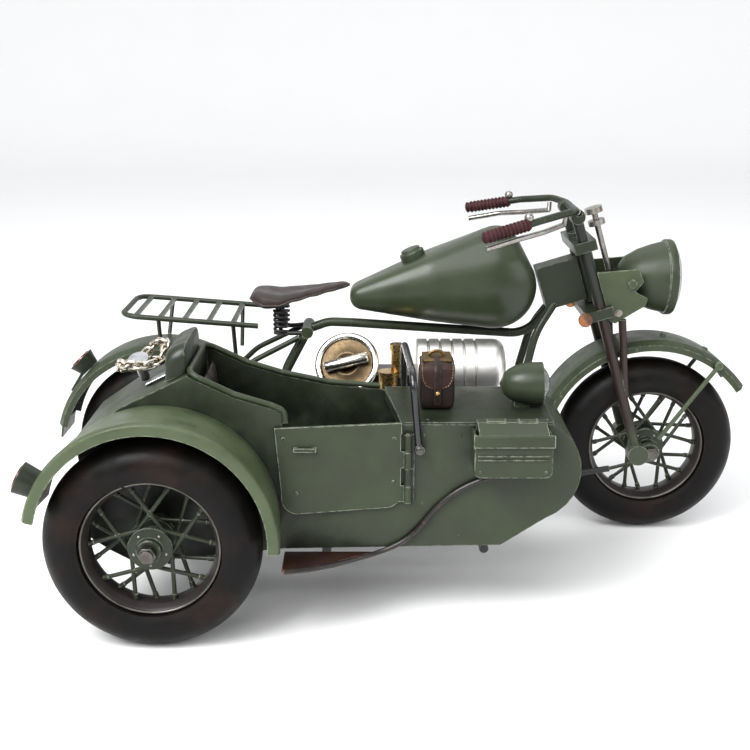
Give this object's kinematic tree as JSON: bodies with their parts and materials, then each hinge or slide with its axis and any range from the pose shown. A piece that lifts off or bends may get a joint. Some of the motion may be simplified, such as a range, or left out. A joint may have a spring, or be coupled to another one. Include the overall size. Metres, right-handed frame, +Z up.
{
  "type": "model motorcycle with sidecar",
  "caption": "Free-rolling sheet-metal model of a military-style motorcycle with a sidecar, a steered front fork, an opening sidecar door and an opening side toolbox.",
  "frame": {"origin": "middle of the footprint, on the surface that the three tyres stand on", "axes": "+X forward, +Y the rider's left, +Z up; the sidecar is on the -Y side"},
  "size_m": [0.3021, 0.1703, 0.149],
  "materials": {
    "tyre": "worn matt rubber",
    "dark_paint": "satin near-black paint",
    "green_paint": "satin olive green paint, rubbed at the edges",
    "red_brown_paint": "satin red-brown paint over green",
    "steel": "bare steel",
    "grip_rubber": "dark red rubber",
    "polished": "polished",
    "clear_glass": "clear",
    "amber": "amber",
    "brass": "satin",
    "saddle_leather": "worn mauve-brown leather",
    "seat_leather": "dark leather",
    "red_glass": "red",
    "copper_brown": "copper-brown, rubbed",
    "bag_leather": "dark brown leather",
    "black_gloss": "gloss black",
    "chain_metal": "bright, a little yellow",
    "pale_metal": "satin"
  },
  "bodies": {
    "chassis": {"steering_head": "green_paint", "top_tube": "green_paint", "down_tubes": "green_paint", "seat_tubes": "green_paint", "cradle_rails": "green_paint", "rear_stays": "green_paint", "crankcase": "dark_paint", "engine_barrel": "polished", "gearbox_cover": "polished", "carburettor": "brass", "fuel_tank": "green_paint", "tank_cap": "green_paint", "saddle": "saddle_leather", "saddle_springs": "steel", "luggage_rack": "green_paint", "rear_fender": "green_paint", "tail_lamp": "green_paint", "link_tubes": "dark_paint", "fixed_axles": "steel", "tub": "green_paint", "front_deck": "green_paint", "coaming_bead": "green_paint", "sidecar_seat": "seat_leather", "sidecar_fender": "green_paint", "fender_lamp": "green_paint", "lamp_lenses": "red_glass", "footboard": "copper_brown", "toolbox": "green_paint", "bag": "bag_leather", "grab_hoop": "black_gloss", "deck_lamp": "green_paint", "chain": "chain_metal", "chain_post": "pale_metal", "hinges": "green_paint"},
    "steering": {"fork_crown": "green_paint", "fork_legs": "red_brown_paint", "front_axle": "steel", "handlebar": "green_paint", "grips": "grip_rubber", "control_levers": "polished", "headlamp_shell": "green_paint", "headlamp_lens": "clear_glass", "headlamp_brackets": "green_paint", "front_fender": "green_paint", "fender_stays": "green_paint", "side_reflectors": "amber"},
    "front_wheel": {"front_tyre": "tyre", "front_rim": "dark_paint", "front_spokes": "green_paint", "front_hub": "green_paint"},
    "rear_wheel": {"rear_tyre": "tyre", "rear_rim": "dark_paint", "rear_spokes": "green_paint", "rear_hub": "green_paint"},
    "sidecar_wheel": {"sidecar_tyre": "tyre", "sidecar_rim": "dark_paint", "sidecar_spokes": "green_paint", "sidecar_hub": "green_paint"},
    "door": {"door": "green_paint"},
    "toolbox_lid": {"toolbox_lid": "green_paint"}
  },
  "joints": [
    {"name": "steering", "type": "hinge", "parent": "chassis", "child": "steering", "pos_m": [0.0785, 0.03955, 0.126], "axis": [-0.289, 0, 0.9573], "range_deg": [-25, 25]},
    {"name": "front_wheel_spin", "type": "hinge", "parent": "steering", "child": "front_wheel", "pos_m": [0.1103, 0.03955, 0.04], "axis": [0, 1, 0], "continuous": true},
    {"name": "rear_wheel_spin", "type": "hinge", "parent": "chassis", "child": "rear_wheel", "pos_m": [-0.1047, 0.03955, 0.04], "axis": [0, 1, 0], "continuous": true},
    {"name": "sidecar_wheel_spin", "type": "hinge", "parent": "chassis", "child": "sidecar_wheel", "pos_m": [-0.0917, -0.07045, 0.04], "axis": [0, 1, 0], "continuous": true},
    {"name": "door_hinge", "type": "hinge", "parent": "chassis", "child": "door", "pos_m": [0.001, -0.05625, 0.06], "axis": [0, 0, 1], "range_deg": [0, 100]},
    {"name": "toolbox_lid_hinge", "type": "hinge", "parent": "chassis", "child": "toolbox_lid", "pos_m": [0.0388, -0.05605, 0.081], "axis": [-1, 0, 0], "range_deg": [0, 95]}
  ]
}
